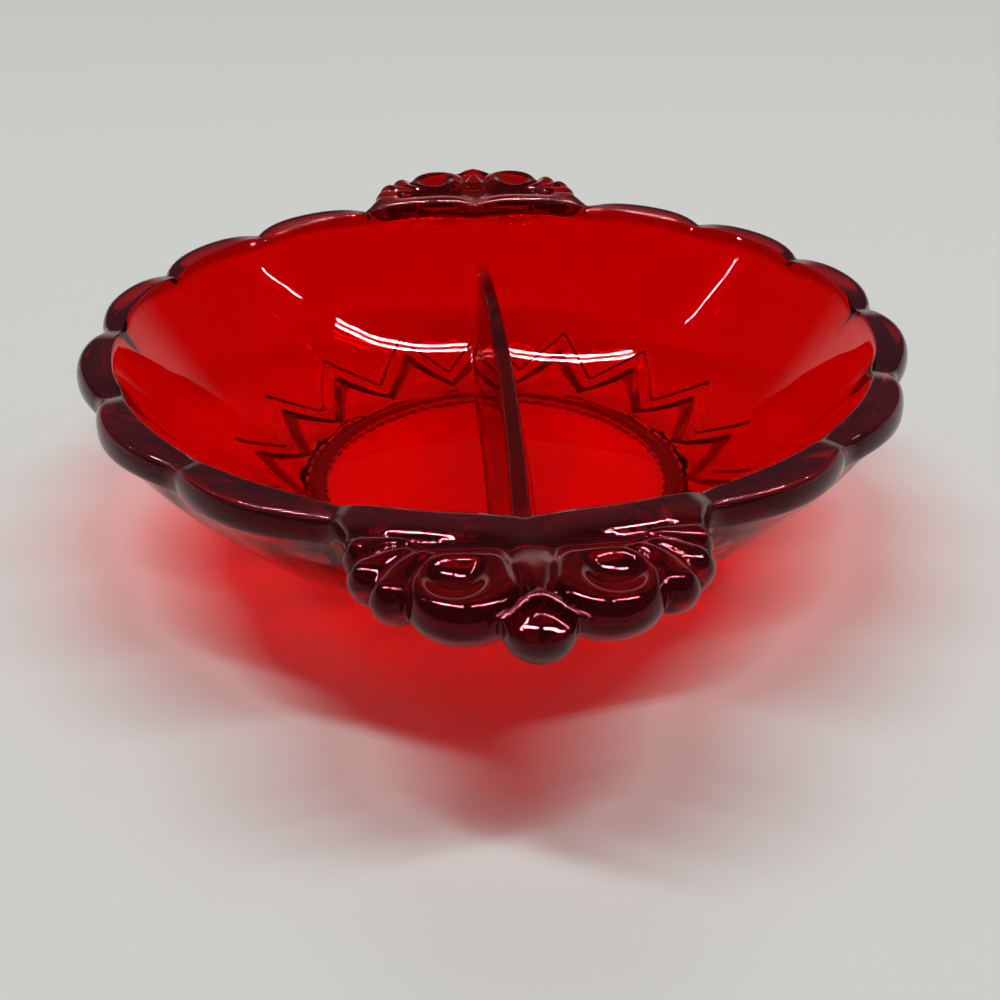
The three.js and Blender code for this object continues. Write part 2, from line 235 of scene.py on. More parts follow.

# Glass: colours over the depth of painted shade, finish and body
PAINTED_SHADE_STEPS = ((0.0, (1.0, 1.0, 1.0)), (0.03, (0.8, 0.1, 0.14)), (0.12, (0.4, 0.07, 0.1)),
                (0.3, (0.28, 0.04, 0.06)), (1.0, (0.1, 0.02, 0.035)))
CLEAR_STEPS = ((0.0, (1.0, 1.0, 1.0)), (0.1, (0.96, 0.96, 0.96)), (0.12, (0.88, 0.88, 0.88)),
               (0.3, (0.94, 0.94, 0.94)))
SHEEN_STEPS = ((0.0, (1.0, 0.12, 0.17)), (0.12, (1.0, 0.3, 0.36)), (0.3, (1.0, 0.14, 0.2)),
               (1.0, (1.0, 0.25, 0.32)))
GLASS_IOR = 1.5
RIPPLE_SCALE = 90.0
RIPPLE_DETAIL = 1.5
RIPPLE_STRENGTH = 0.12
RIPPLE_DEPTH = 0.0004
POLISH_ROUGHNESS = (0.008, 0.02)
GRAIN_ROUGHNESS = 0.35
RED_PASSES = (0.9827, 0.01, 0.04, 1.0)
RED_DENSITY = 1500.0
SHADOW_TINT = (0.57, 0.55, 0.55, 1.0)

# Cloth and room
CLOTH_COLOUR = (0.78, 0.785, 0.75, 1.0)
CLOTH_ROUGHNESS = 0.9
WEAVE_SCALE = 900.0
WEAVE_DETAIL = 3.0
WEAVE_STRENGTH = 0.15
WEAVE_DEPTH = 0.0004
CLOTH_HALF_SIZE = 6.0
FAR_CLOTH_SPAN = (0.35, 1.5)
BACKDROP = (0.62, 0.615, 0.59, 1.0)
WALL_SPAN = (0.12, 0.3)
WALL_GREYS = (1.0, 0.06)
ROOM_FILL = 0.04
FILL_COLOUR = (1.0, 1.0, 1.0, 1.0)

# Lamps: the places of the tubes' ends are shares of their height, sideways and back
TUBE_HEIGHT = 2.0
TUBE_GLOW = 66.0
GLEAM_GLOW = 380.0
GLEAM_GAP = 0.01
TUBE_WIDTH = 0.0157
END_TUBE_WIDTH = 0.0055
TUBES = {
    "tube_right_near": ((0.12, -0.159), (0.84, -0.0265), TUBE_WIDTH),
    "tube_right_far": ((0.12, -0.121), (0.84, 0.0115), TUBE_WIDTH),
    "tube_left_near": ((-0.0482, -0.129), (-0.6682, 0.161), TUBE_WIDTH),
    "tube_left_far": ((-0.0418, -0.091), (-0.6618, 0.199), TUBE_WIDTH),
    "tube_end_right": ((1.08, 0.05), (1.34, 0.17), END_TUBE_WIDTH),
    "tube_end_left": ((-1.02, 0.32), (-1.38, 0.39), END_TUBE_WIDTH),
}
SOFTBOX_PLACE = (0.0, 1.4, 2.0)
SOFTBOX_SIZE = 1.2
SOFTBOX_POWER = 6.0

# Camera at the photograph's place and angle
CAMERA_PLACE = (-0.01197, -0.20456, 0.12818)
CAMERA_YAW, CAMERA_PITCH, CAMERA_ROLL = 3.6195, 32.334, 0.2385
CAMERA_LENS = 40.103
SENSOR_WIDTH = 36.0
LENS_CLIP = 0.005

# How often light may turn on its way through the glass
LIGHT_BOUNCES = 24
GLOSSY_BOUNCES = 8


def bowed(t, bow):
    return t + bow * (t * t - t)


def soft_max(a, b, width):
    """The higher of two surfaces, with a fillet of about that width where they meet."""
    h = np.clip(0.5 + 0.5 * (a - b) / width, 0.0, 1.0)
    return b + (a - b) * h + width * h * (1.0 - h)


def soft_min(a, b, width):
    return -soft_max(-a, -b, width)


def rounded_edge(inset, run):
    """Quarter round: 0 on the outline, 1 from run inwards."""
    q = 1.0 - np.clip(inset / run, 0.0, 1.0)
    return np.sqrt(1.0 - q * q)


def smooth_step(t):
    t = np.clip(t, 0.0, 1.0)
    return t * t * (3.0 - 2.0 * t)


def flute_share(x, y):
    """Place across a flute or lobe: 0 on its middle line, -1 and 1 on the notch lines."""
    turn = np.degrees(np.arctan2(np.abs(y), np.abs(x)))
    pitch = SIDE_HALF_SPAN / (SIDE_LOBES / 2)
    side = 2.0 * (np.mod(turn, pitch) / pitch) - 1.0
    handle = 2.0 * (turn - SIDE_HALF_SPAN) / HANDLE_HALF_SPAN - 1.0
    return np.where(turn < SIDE_HALF_SPAN, side, handle)


def bowl_inside(r):
    """Height of the inside of the bowl, floor and wall."""
    t = np.maximum((r - FLOOR_RADIUS) / (RIM_INNER_RADIUS - FLOOR_RADIUS), INNER_LEAST_SHARE)
    wall = FLOOR_TOP + (RIM_TOP - FLOOR_TOP) * bowed(t, INNER_BOW)
    return soft_max(wall, np.full_like(wall, FLOOR_TOP), FLOOR_FILLET)


def rim_plate(u):
    """Top of the rim, which arches between the notches."""
    return RIM_TOP - NOTCH_DIP * u ** ARCH_POWER


def arch_plate(u):
    """Top of the rim behind a handle: one arch on each side of the middle."""
    return RIM_TOP + ARCH_RISE - ARCH_DROP * u ** ARCH_POWER


def inner_edge(x, y):
    """Height of the rim over the inner edge of the bowl."""
    u = flute_share(x, y)
    turn = np.degrees(np.arctan2(np.abs(y), np.abs(x)))
    return np.where(turn > SIDE_HALF_SPAN, arch_plate(u), rim_plate(u))


def divider_bow(y):
    return DIVIDER_BOW * (1.0 - (y / RIM_INNER_RADIUS) ** 2)


def divider_top(x, y):
    """Height of the divider: a narrow crest on two steep sides."""
    off = np.abs(x - divider_bow(y))
    lean = (DIVIDER_BASE_HALF_WIDTH - CREST_HALF_WIDTH) / (CREST_Z - FLOOR_TOP)
    side = CREST_Z - (off - CREST_HALF_WIDTH) / lean
    crest = CREST_Z - CREST_CROWN * (off / CREST_HALF_WIDTH) ** 2
    return soft_min(crest, side, CREST_BLEND)


def wall_outside(x, y):
    """Height of the outside of the wall, with the creases between the flutes."""
    r = np.hypot(x, y)
    u = flute_share(x, y)
    run = WALL_TOP_RADIUS - WALL_FOOT_RADIUS
    t_plain = np.clip((r - WALL_FOOT_RADIUS) / run, 0.0, 1.0)
    near_rim = smooth_step((t_plain - CREASE_RIM_SHARE) / (1.0 - CREASE_RIM_SHARE))
    crease = (CREASE_DEPTH + (CREASE_AT_RIM - CREASE_DEPTH) * near_rim) * u * u
    from_notch = (1.0 - np.abs(u)) * math.radians(0.5 * HANDLE_HALF_SPAN) * r
    crease = crease + GROOVE_DEPTH * np.exp(-((from_notch / GROOVE_HALF_WIDTH) ** 2))
    t = np.maximum((r + crease - WALL_FOOT_RADIUS) / run, OUTER_LEAST_SHARE)
    return FOOT_HEIGHT + (WALL_TOP_Z - FOOT_HEIGHT) * bowed(t, OUTER_BOW)


def underside(x, y):
    """Height of the dish from below: hollow base, foot ring and wall."""
    r = np.hypot(x, y)
    outer = smooth_step((r - FOOT_RADIUS + FOOT_STEP) / FOOT_STEP)
    inner = smooth_step((FOOT_INNER_RADIUS + FOOT_STEP - r) / FOOT_STEP)
    wall = wall_outside(x, y)
    return np.where(r < FOOT_MID_RADIUS, FOOT_HEIGHT * inner, wall * outer)


def crossing(disc_a, disc_b, inside):
    """Point where two circles meet, on the side away from a point inside the outline."""
    a, ra = np.array(disc_a[0]), disc_a[1]
    b, rb = np.array(disc_b[0]), disc_b[1]
    gap = np.linalg.norm(b - a)
    along = (gap * gap + ra * ra - rb * rb) / (2.0 * gap)
    across = math.sqrt(max(ra * ra - along * along, 0.0))
    way = (b - a) / gap
    side = np.array((-way[1], way[0]))
    points = (a + way * along + side * across, a + way * along - side * across)
    return max(points, key=lambda p: np.linalg.norm(p - np.array(inside)))


def turned(point, centre):
    return math.degrees(math.atan2(point[1] - centre[1], point[0] - centre[0]))


def notch_point():
    turn = math.radians(HANDLE_HALF_SPAN)
    return np.array((NOTCH_RADIUS * math.sin(turn), NOTCH_RADIUS * math.cos(turn)))


def rim_end_radius():
    return float(np.linalg.norm(notch_point() - np.array(RIM_END)))


def handle_discs():
    """Circles whose union is the outline of half a handle, from the bead to the side notch."""
    fan = [(rib["tip"], rib["radius"]) for rib in reversed(FAN_RIBS)]
    front = [((0.0, BEAD_Y), BEAD_RADIUS), (SCROLL_CENTRE, SCROLL_RADIUS)]
    return front + fan + [(RIM_END, rim_end_radius())]


def hollow_run(start, end, count):
    """Points of the slightly hollow outline from the fan to the side notch."""
    middle = 0.5 * (start + end)
    pull = middle * (1.0 - 2.0 * RIM_END_HOLLOW / np.linalg.norm(middle))
    shares = np.linspace(0.0, 1.0, count, endpoint=False)
    return [tuple((1.0 - t) ** 2 * start + 2.0 * t * (1.0 - t) * pull + t * t * end) for t in shares]


def arc_run(disc, start, end):
    """Points along a circle, with the clock, from one joint up to the next."""
    centre, radius = disc
    first, last = turned(start, centre), turned(end, centre)
    if last > first:
        last -= 360.0
    count = max(LEAST_ARC_POINTS, round(math.radians(first - last) * radius / OUTLINE_STEP))
    turns = np.radians(np.linspace(first, last, count, endpoint=False))
    return [(centre[0] + radius * math.cos(turn), centre[1] + radius * math.sin(turn)) for turn in turns]


def handle_outline():
    """Points of half a handle's outline, and the number of the first point after each joint."""
    discs = handle_discs()
    joints = [np.array((0.0, BEAD_Y + BEAD_RADIUS))]
    joints += [crossing(a, b, HANDLE_MIDDLE) for a, b in zip(discs, discs[1:])]
    joints.append(notch_point())
    points = []
    marks = [0]
    for disc, start, end in zip(discs, joints, joints[1:]):
        run = arc_run(disc, start, end)
        if disc[0] == RIM_END:
            run = hollow_run(start, end, len(run))
        points += run
        marks.append(len(points))
    points.append(tuple(joints[-1]))
    return np.array(points), np.array(marks, float)


def handle_spokes():
    """Root on the inner rim, bend and end of each mesh line over half a handle."""
    ends, marks = handle_outline()
    place = np.arange(len(ends), dtype=float)
    root_turn = np.radians(np.interp(place, marks, SPOKE_TURNS))
    roots = RIM_INNER_RADIUS * np.stack((np.sin(root_turn), np.cos(root_turn)), 1)
    bends = [np.interp(place, marks, values) for values in zip(*SPOKE_BENDS)]
    return roots, np.stack(bends, 1), ends


def lobe_spokes(middle):
    """Root, bend and end of each mesh line over one side lobe, whose outline is part of a circle."""
    half = math.radians(SIDE_HALF_SPAN) / SIDE_LOBES
    turn = middle + half * (2.0 * np.arange(LOBE_COLUMNS) / LOBE_COLUMNS - 1.0)
    centre, radius = lobe_circle()
    off = turn - middle
    end_r = centre * np.cos(off) + np.sqrt(radius ** 2 - (centre * np.sin(off)) ** 2)
    way = np.stack((np.cos(turn), np.sin(turn)), 1)
    roots = RIM_INNER_RADIUS * way
    ends = end_r[:, None] * way
    return roots, 0.5 * (roots + ends), ends


def lobe_circle():
    """Distance of a lobe circle's centre from the middle of the dish, and its radius."""
    half = math.radians(SIDE_HALF_SPAN) / SIDE_LOBES
    chord = NOTCH_RADIUS * math.sin(half)
    rise = LOBE_CREST_RADIUS - NOTCH_RADIUS * math.cos(half)
    radius = (chord * chord + rise * rise) / (2.0 * rise)
    return LOBE_CREST_RADIUS - radius, radius


def all_spokes():
    """Every mesh line once round the dish, against the clock from the front right notch."""
    pitch = 2.0 * math.radians(SIDE_HALF_SPAN) / SIDE_LOBES
    first = -math.radians(SIDE_HALF_SPAN) + 0.5 * pitch
    middles = [first + pitch * i for i in range(SIDE_LOBES)]
    right = [lobe_spokes(m) for m in middles]
    left = [lobe_spokes(m + math.pi) for m in middles]
    half = handle_spokes()

    def placed(sx, sy, backwards):
        sign = np.array((sx, sy))
        rows = slice(None, 0, -1) if backwards else slice(0, -1)
        return tuple((part * sign)[rows] for part in half)

    rear = [placed(1, 1, True), placed(-1, 1, False)]
    front = [placed(-1, -1, True), placed(1, -1, False)]
    parts = right + rear + left + front
    is_handle = [False] * len(right) + [True] * 2 + [False] * len(left) + [True] * 2
    roots, bends, ends = (np.concatenate([part[i] for part in parts]) for i in range(3))
    flags = np.concatenate([np.full(len(part[0]), flag) for part, flag in zip(parts, is_handle)])
    return roots, bends, ends, flags


def tube_top(x, y, line, radii, rises):
    """Height over the handle's middle plane of a rounded rib that follows a line of points."""
    best = np.full_like(x, -1.0)
    for (p, q), (ra, rb), (ha, hb) in zip(zip(line, line[1:]), zip(radii, radii[1:]), zip(rises, rises[1:])):
        dx, dy = q[0] - p[0], q[1] - p[1]
        t = np.clip(((x - p[0]) * dx + (y - p[1]) * dy) / (dx * dx + dy * dy), 0.0, 1.0)
        off = np.hypot(x - p[0] - t * dx, y - p[1] - t * dy)
        radius = ra + (rb - ra) * t
        rise = ha + (hb - ha) * t
        best = np.maximum(best, rise * np.sqrt(np.maximum(1.0 - (off / radius) ** 2, 0.0)))
    return best


def bend_line(root, bend, tip, count):
    """Points of a smooth curve from root to tip, pulled towards bend."""
    t = np.linspace(0.0, 1.0, count)[:, None]
    root, bend, tip = (np.array(p) for p in (root, bend, tip))
    return (1 - t) ** 2 * root + 2 * t * (1 - t) * bend + t * t * tip


def fan_top(x, y):
    """Height of the three ribs of a fan over the middle plane."""
    top = np.full_like(x, -1.0)
    for rib in FAN_RIBS:
        line = bend_line(rib["root"], rib["bend"], rib["tip"], RIB_POINTS)
        along = np.linspace(0.0, 1.0, len(line))
        radii = RIB_ROOT_RADIUS + (rib["radius"] - RIB_ROOT_RADIUS) * along
        rises = RIB_ROOT_RISE + (RIB_RISE - RIB_ROOT_RISE) * smooth_step(along / RIB_SLOPE_SHARE)
        top = soft_max(top, tube_top(x, y, line, radii, rises), RIB_JOIN)
    return top


def scroll_top(x, y):
    """Height of a scroll over the middle plane, before its eye is hollowed out."""
    (ax, ay), (bx, by) = SCROLL_NECK, SCROLL_CENTRE
    dx, dy = bx - ax, by - ay
    t = np.clip(((x - ax) * dx + (y - ay) * dy) / (dx * dx + dy * dy), 0.0, 1.0)
    radius = SCROLL_NECK_RADIUS + (SCROLL_RADIUS - SCROLL_NECK_RADIUS) * t
    inset = radius - np.hypot(x - ax - t * dx, y - ay - t * dy)
    slope = smooth_step((SCROLL_SLOPE_TOP - y) / SCROLL_SLOPE_RUN)
    rise = SCROLL_RISE + (SCROLL_NECK_RISE - SCROLL_RISE) * slope
    return np.where(inset > 0.0, rise * rounded_edge(inset, SCROLL_ROUND), -1.0)


def eye_hollow(x, y):
    """Ceiling that cuts the eye of a scroll out of the handle, over the middle plane."""
    share = ((x - EYE_CENTRE[0]) / EYE_HALF[0]) ** 2 + ((y - EYE_CENTRE[1]) / EYE_HALF[1]) ** 2
    return EYE_FLOOR + (SCROLL_RISE - EYE_FLOOR) * share


def stem_top(x, y):
    """Height of the broad stem between the scrolls over the middle plane, flared towards the rim."""
    flare = np.clip((STEM_FLARE_FROM - y) / STEM_FLARE_RUN, 0.0, 1.0) ** 2
    taper = np.clip((y - STEM_TAPER_FROM) / STEM_TAPER_RUN, 0.0, 1.0)
    inset = STEM_HALF_WIDTH + STEM_FLARE * flare - STEM_TAPER * taper - x
    slope = smooth_step((y - STEM_SLOPE_FROM) / STEM_SLOPE_RUN)
    rise = STEM_ROOT_RISE + (STEM_RISE - STEM_ROOT_RISE) * slope
    top = rise * rounded_edge(inset, STEM_ROUND)
    return np.where((inset > 0.0) & (y < STEM_END), top, -1.0)


def bead_share(x, y):
    """Height of a bead as a share of its rise: 1 on its top, 0 on its outline, -1 outside."""
    off = np.hypot(x, y - BEAD_Y) / BEAD_RADIUS
    return np.where(off < 1.0, np.sqrt(np.maximum(1.0 - off * off, 0.0)), -1.0)


def chevron_top(x, y):
    """Height of the pointed ridge that lies over the bead, over the middle plane."""
    line = bend_line(CHEVRON_APEX, CHEVRON_MID, CHEVRON_END, CHEVRON_POINTS)
    t = np.clip((y - CHEVRON_APEX[1]) / (CHEVRON_END[1] - CHEVRON_APEX[1]), 0.0, 1.0)
    ridge = tube_top(x, y, line, np.full(len(line), CHEVRON_RADIUS), np.ones(len(line)))
    height = CHEVRON_RISE - CHEVRON_FALL * t - CHEVRON_ROUND * (1.0 - ridge)
    return np.where(ridge > 0.0, height, -1.0)


def handle_rim_top(x, y, u):
    """Height of the rounded rim behind a handle over the middle plane."""
    r = np.hypot(x, y)
    end_reach = math.hypot(*RIM_END)
    outwards = (x * RIM_END[0] + y * RIM_END[1]) / end_reach - end_reach
    along = (x * RIM_END[1] - y * RIM_END[0]) / end_reach
    end_inset = rim_end_radius() - np.hypot(along, np.maximum(outwards, 0.0))
    end_inset = end_inset + RIM_END_OPENING * np.maximum(-outwards, 0.0)
    inset = np.where(x > RIM_END[0], end_inset, np.maximum(ROLL_OUTER_RADIUS - r, end_inset))
    plate = arch_plate(u) - HANDLE_MID_Z
    fall = ROLL_FALL + (PLATE_ROUND - ROLL_FALL) * smooth_step((x - RIM_END[0]) / RIM_END_RUN + 1.0)
    return np.where(inset > 0.0, plate * rounded_edge(inset, fall), -1.0)


def handle_top(x, y, inset):
    """Height of a handle's upper side, where inset is the distance to the outline along the mesh line."""
    u = flute_share(x, y)
    x, y = np.abs(x), np.abs(y)
    near_edge = rounded_edge(inset, PLATE_EDGE_RUN)
    top = PLATE_RISE * rounded_edge(inset, PLATE_ROUND)
    forms = ((scroll_top(x, y), BODY_BLEND), (stem_top(x, y), BODY_BLEND),
             (handle_rim_top(x, y, u) * near_edge, ROLL_BLEND), (fan_top(x, y), RIB_BLEND))
    for form, blend in forms:
        top = np.where(form > 0.0, soft_max(top, form, blend * near_edge + LEAST_BLEND), top)
    top = soft_min(top, eye_hollow(x, y), BODY_BLEND)
    share = bead_share(x, y)
    bead = BEAD_RISE * share + BEAD_Z - HANDLE_MID_Z
    top = np.where(share >= 0.0, soft_max(top, bead, BEAD_BLEND * near_edge + LEAST_BLEND), top)
    chevron = chevron_top(x, y)
    top = np.where(chevron > 0.0, soft_max(top, chevron, CHEVRON_BLEND), top)
    return soft_min(HANDLE_MID_Z + top, bowl_inside(np.hypot(x, y)), RIM_EDGE_ROUND)


def handle_under(x, y, inset):
    """Height of a handle's underside, with the wall that carries it."""
    plate = HANDLE_MID_Z - PLATE_FALL * rounded_edge(inset, PLATE_UNDER_ROUND)
    bead = bead_share(np.abs(x), np.abs(y))
    plate = np.where(bead >= 0.0, np.minimum(plate, BEAD_Z - BEAD_UNDER_RADIUS * bead), plate)
    return soft_min(plate, wall_outside(x, y), PLATE_WALL_BLEND)


def lobe_inset(x, y):
    """Distance from a point of a side lobe to the lobe's outline."""
    side_span = math.radians(SIDE_HALF_SPAN)
    pitch = 2.0 * side_span / SIDE_LOBES
    turn = np.arctan2(y, np.abs(x))
    middle = (np.floor((turn + side_span) / pitch + NOTCH_SLACK) + 0.5) * pitch - side_span
    centre, radius = lobe_circle()
    return radius - np.hypot(np.abs(x) - centre * np.cos(middle), y - centre * np.sin(middle))


def lobe_edge(u):
    return LOBE_EDGE_Z + (LOBE_NOTCH_EDGE_Z - LOBE_EDGE_Z) * u * u


def lobe_top(x, y):
    """Height of a side lobe's upper side."""
    u = flute_share(x, y)
    plate = rim_plate(u)
    edge = lobe_edge(u)
    top = edge + (plate - edge) * rounded_edge(lobe_inset(x, y), LOBE_TOP_ROUND)
    return soft_min(top, bowl_inside(np.hypot(x, y)), RIM_EDGE_ROUND)


def lobe_under(x, y):
    """Height of a side lobe's underside, with the wall that carries it."""
    u = flute_share(x, y)
    lip = lobe_edge(u) - LOBE_UNDER_DROP * rounded_edge(lobe_inset(x, y), LOBE_UNDER_ROUND)
    return soft_min(lip, wall_outside(x, y), LOBE_UNDER_BLEND)


def spoke_shares(length, rows, rounding):
    """Places along each mesh line from the inner rim to the outline, close together on the rounded edge."""
    run = np.minimum(rounding, EDGE_SHARE * length)
    plain = np.linspace(0.0, 1.0, rows)[None, :] * (1.0 - run / length)[:, None]
    turn = np.radians(np.linspace(90.0, 0.0, EDGE_ROWS + 1)[1:-1])
    curved = 1.0 - (run / length)[:, None] * (1.0 - np.cos(turn))[None, :]
    return np.concatenate((plain, curved), 1)


def on_spokes(shares, roots, bends, ends):
    t = shares[:, :, None]
    a, b, c = (part[:, None, :] for part in (roots, bends, ends))
    return (1 - t) ** 2 * a + 2 * t * (1 - t) * b + t * t * c


def outer_sheet(spokes, rows, rounding, lobe_height, handle_height):
    """Points of one face of the rim and handles, one row of the array for each mesh line."""
    roots, bends, ends, flags = spokes
    length = np.linalg.norm(bends - roots, axis=1) + np.linalg.norm(ends - bends, axis=1)
    shares = spoke_shares(length, rows, rounding)
    plan = on_spokes(shares, roots, bends, ends)
    x, y = plan[:, :, 0], plan[:, :, 1]
    inset = np.linalg.norm(plan - ends[:, None, :], axis=2)
    z = np.where(flags[:, None], handle_height(x, y, inset), lobe_height(x, y))
    return np.dstack((x, y, z))


def inner_plan(roots, radii):
    """Plan of the bowl's mesh: lines from the rim in to a short line across the middle.
    Near the divider the lines run along it. Radii holds one row of radii for each line."""
    anchors = np.stack((np.clip(roots[:, 0], -STRIP_HALF_WIDTH, STRIP_HALF_WIDTH), 0.0 * roots[:, 0]), 1)
    way = roots - anchors
    a = (way ** 2).sum(1)[:, None]
    b = (way * anchors).sum(1)[:, None]
    c = (anchors ** 2).sum(1)[:, None] - radii ** 2
    share = (-b + np.sqrt(b * b - a * c)) / a
    share = np.concatenate((np.array(CENTRE_SHARES) * share[:, :1], share), 1)
    return anchors[:, None, :] + share[:, :, None] * way[:, None, :]


def petal_plan(roots, radii, petal_rows):
    """Plan of the underside's mesh, whose rows follow the zigzag of the petal ends."""
    spread = PETAL_VALLEY_RADIUS - PETAL_TIP_RADIUS
    share = np.zeros((len(roots), len(radii)))
    for _ in range(PETAL_PLAN_PASSES):
        plan = inner_plan(roots, radii[None, :] + spread * petal_rows[None, :] * share)
        rings = plan[:, len(CENTRE_SHARES):]
        share = np.abs(flute_share(rings[:, :, 0], rings[:, :, 1]))
    return plan


def follow_divider(plan):
    """Shifts the plan sideways with the divider's bow, so that the crest runs along mesh lines."""
    x, y = plan[:, :, 0], plan[:, :, 1]
    fade = 1.0 - smooth_step((np.abs(x) - STRIP_HALF_WIDTH) / BOW_FADE)
    return np.dstack((x + divider_bow(y) * fade, y))


def ring_radii(spans):
    """Radii of the mesh rings, from the first and last radius and the number of each span."""
    return np.concatenate([np.linspace(*span) for span in spans])


def bowl_sheet(roots):
    """Points of the inside of the bowl with the divider."""
    plan = follow_divider(inner_plan(roots, np.tile(ring_radii(BOWL_RINGS), (len(roots), 1))))
    x, y = plan[:, :, 0], plan[:, :, 1]
    r = np.hypot(x, y)
    bowl = soft_min(bowl_inside(r), inner_edge(x, y), RIM_EDGE_ROUND)
    return np.dstack((x, y, soft_max(bowl, divider_top(x, y), DIVIDER_FILLET)))


def base_sheet(roots):
    """Points of the underside of the bowl: hollow base, foot ring and fluted wall."""
    petals = PETAL_TIP_RADIUS + np.array(PETAL_ROWS)
    radii = np.concatenate((ring_radii(FOOT_RINGS), petals, ring_radii(WALL_RINGS)))
    plan = petal_plan(roots, radii, np.interp(radii, *zip(*PETAL_FOLLOW)))
    x, y = plan[:, :, 0], plan[:, :, 1]
    return np.dstack((x, y, underside(x, y)))


def dish_rings():
    """All rings of the dish from the middle of the bowl, over the rim and back under the base."""
    spokes = all_spokes()
    roots, _, ends, _ = spokes
    inside = bowl_sheet(roots)
    over = outer_sheet(spokes, HANDLE_ROWS, OVER_EDGE_RUN, lobe_top, handle_top)
    under = outer_sheet(spokes, UNDER_ROWS, UNDER_EDGE_RUN, lobe_under, handle_under)
    base = base_sheet(roots)
    lip_z = 0.5 * (over[:, -1, 2] + under[:, -1, 2])
    lip = np.dstack((ends[:, :1], ends[:, 1:], lip_z[:, None]))
    outside = np.concatenate((under[:, ::-1], base[:, ::-1]), 1)
    grid = np.concatenate((inside, over, lip, outside), 1)
    first_outside = inside.shape[1] + over.shape[1] + 1
    return grid, inside.shape[1], first_outside


def merged_mesh(grid):
    """Quads of the grid, closed round the dish, with the points that coincide in the middle merged."""
    columns, rows, _ = grid.shape
    points = grid.reshape(-1, 3)
    rounded = np.round(points, MERGE_DIGITS)
    keys, index = np.unique(rounded, axis=0, return_index=True)
    lookup = {tuple(key): i for i, key in enumerate(keys)}
    number = np.array([lookup[tuple(key)] for key in rounded]).reshape(columns, rows)
    following = np.roll(number, -1, axis=0)
    quads = np.stack((number[:, :-1], number[:, 1:], following[:, 1:], following[:, :-1]), 2).reshape(-1, 4)
    faces = []
    for quad in quads.tolist():
        face = [v for k, v in enumerate(quad) if v != quad[k - 1]]
        if len(set(face)) >= 3:
            faces.append(face)
    return points[index], faces, index


def add_values(mesh, name, values):
    layer = mesh.attributes.new(name, "FLOAT", "POINT")
    layer.data.foreach_set("value", np.ascontiguousarray(values, dtype=np.float32))


def painted_shade_depth(points, row, inside_rows, first_outside, first_base):
    """Painted shade for the glass's colour: full on the divider's crest and petal bevels, less on rim and
    handles, and the front handle and bead darker than the rear handle's top.
    """
    x, y, z = points[:, 0], points[:, 1], points[:, 2]
    r = np.hypot(x, y)
    above = row < first_outside
    crest = smooth_step((z - bowl_inside(r) - CREST_FADE_FROM) / CREST_FADE)
    side = smooth_step((inner_edge(x, y) - z) / RIM_SIDE_FADE)
    lip = np.where(above, 1.0, smooth_step((z - LIP_FADE_Z) / LIP_FADE))
    lobe = (RIM_DEPTH + (RIM_SIDE_DEPTH - RIM_DEPTH) * side) * lip
    turn = np.degrees(np.arctan2(np.abs(y), np.abs(x)))
    beside = turn > SIDE_HALF_SPAN - HANDLE_FADE_TURN
    handle = smooth_step((r - HANDLE_FADE_RADIUS) / HANDLE_FADE) * beside
    # Painted shade: the front handle and the handles' undersides darker than the rear handle's top
    rim = lobe + (np.where((y > 0.0) & above, REAR_HANDLE_DEPTH, HANDLE_DEPTH) - lobe) * handle
    bead = smooth_step(BEAD_FADE_FROM - np.hypot(x, np.abs(y) - BEAD_Y) / BEAD_RADIUS)
    # Painted shade: the front bead darker still
    rim = np.maximum(rim, BEAD_DEPTH * bead * (y < 0.0))
    # Painted shade: the petal bevels as dark bands
    bevel = PETAL_BEVEL_SHADE * petal_bevel(points)
    return np.where(row < inside_rows, crest, np.where(row < first_base, rim, bevel))


def past_petal(points):
    """How far a point lies beyond the end of its petal, in mm."""
    r = np.hypot(points[:, 0], points[:, 1])
    share = np.abs(flute_share(points[:, 0], points[:, 1]))
    return r - PETAL_TIP_RADIUS - (PETAL_VALLEY_RADIUS - PETAL_TIP_RADIUS) * share


def in_step(past, start, run):
    return (past > start - PETAL_MARGIN) & (past < start + run + PETAL_MARGIN)


def petal_bevel(points):
    return in_step(past_petal(points), 0.0, PETAL_STEP_RUN)


def petal_grain(points, outside):
    """1 on the bevels of the petals, which keep the grain of the mould, and 0 elsewhere."""
    high = in_step(past_petal(points), PETAL_BEVEL, PETAL_LINE_RUN)
    return outside * (petal_bevel(points) | high)


def dish_mesh():
    """The dish before its petals and beads are pressed in, in metres."""
    grid, inside_rows, first_outside = dish_rings()
    points, faces, index = merged_mesh(grid)
    mesh = bpy.data.meshes.new("dish")
    mesh.from_pydata((points * MM).tolist(), [], faces)
    mesh.validate()
    row = index % grid.shape[1]
    outside = (row >= first_outside + UNDER_ROWS).astype(float)
    add_values(mesh, "outside", outside)
    add_values(mesh, "petal_grain", petal_grain(points, outside))
    first_base = first_outside + UNDER_ROWS + EDGE_ROWS - 1
    # Painted shade, kept on the mesh for the glass's colour
    add_values(mesh, "painted_shade_depth", painted_shade_depth(points, row, inside_rows, first_outside, first_base))
    add_values(mesh, "flute_share", np.abs(flute_share(points[:, 0], points[:, 1])))
    mesh.polygons.foreach_set("use_smooth", np.ones(len(mesh.polygons), dtype=bool))
    mesh.update()
    return mesh


